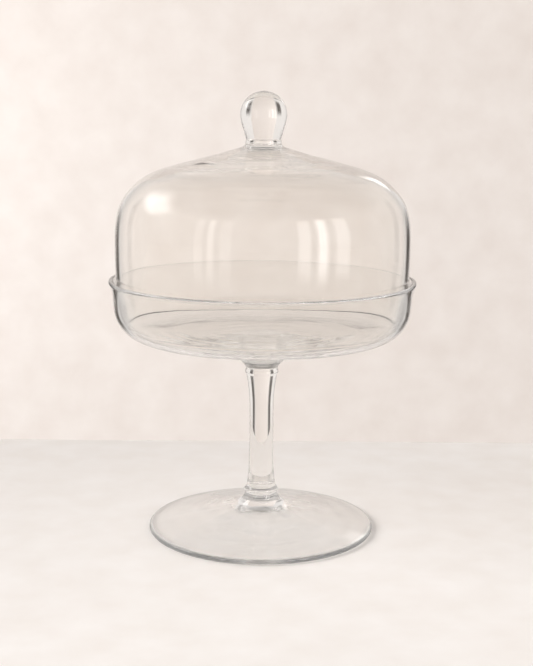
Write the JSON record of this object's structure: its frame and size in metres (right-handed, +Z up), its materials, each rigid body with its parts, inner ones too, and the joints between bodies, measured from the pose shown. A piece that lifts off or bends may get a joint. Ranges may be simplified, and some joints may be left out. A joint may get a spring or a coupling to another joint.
{
  "type": "footed cake stand with bell dome",
  "caption": "Clear glass footed dish on a solid stem, with a lift-off blown bell dome and ball knob that stands inside its raised rim.",
  "frame": {"origin": "centre of the circle on which the foot stands, at the level of the surface under it", "axes": "+Z straight up along the stem through the knob; the part is round about Z, so +X and +Y are any two level directions"},
  "size_m": [0.2, 0.2, 0.2888],
  "materials": {
    "stand_glass": "clear hand-worked soda-lime glass, fire polished, faint waviness",
    "stem_glass": "clear solid rod glass, fire polished, with drawn streaks along the stem",
    "dome_glass": "clear thin blown glass, fire polished, faint upright ripples",
    "knob_glass": "clear solid glass, fire polished, slightly uneven"
  },
  "bodies": {
    "stand": {"foot": "stand_glass", "base_ring": "stand_glass", "stem": "stem_glass", "button": "stem_glass", "dish": "stand_glass"},
    "lid": {"dome": "dome_glass", "knob_collar": "knob_glass", "knob": "knob_glass"}
  },
  "joints": [
    {"name": "lid_lift", "type": "slide", "parent": "stand", "child": "lid", "axis": [0, 0, 1], "range_m": [0, 0.12]}
  ]
}
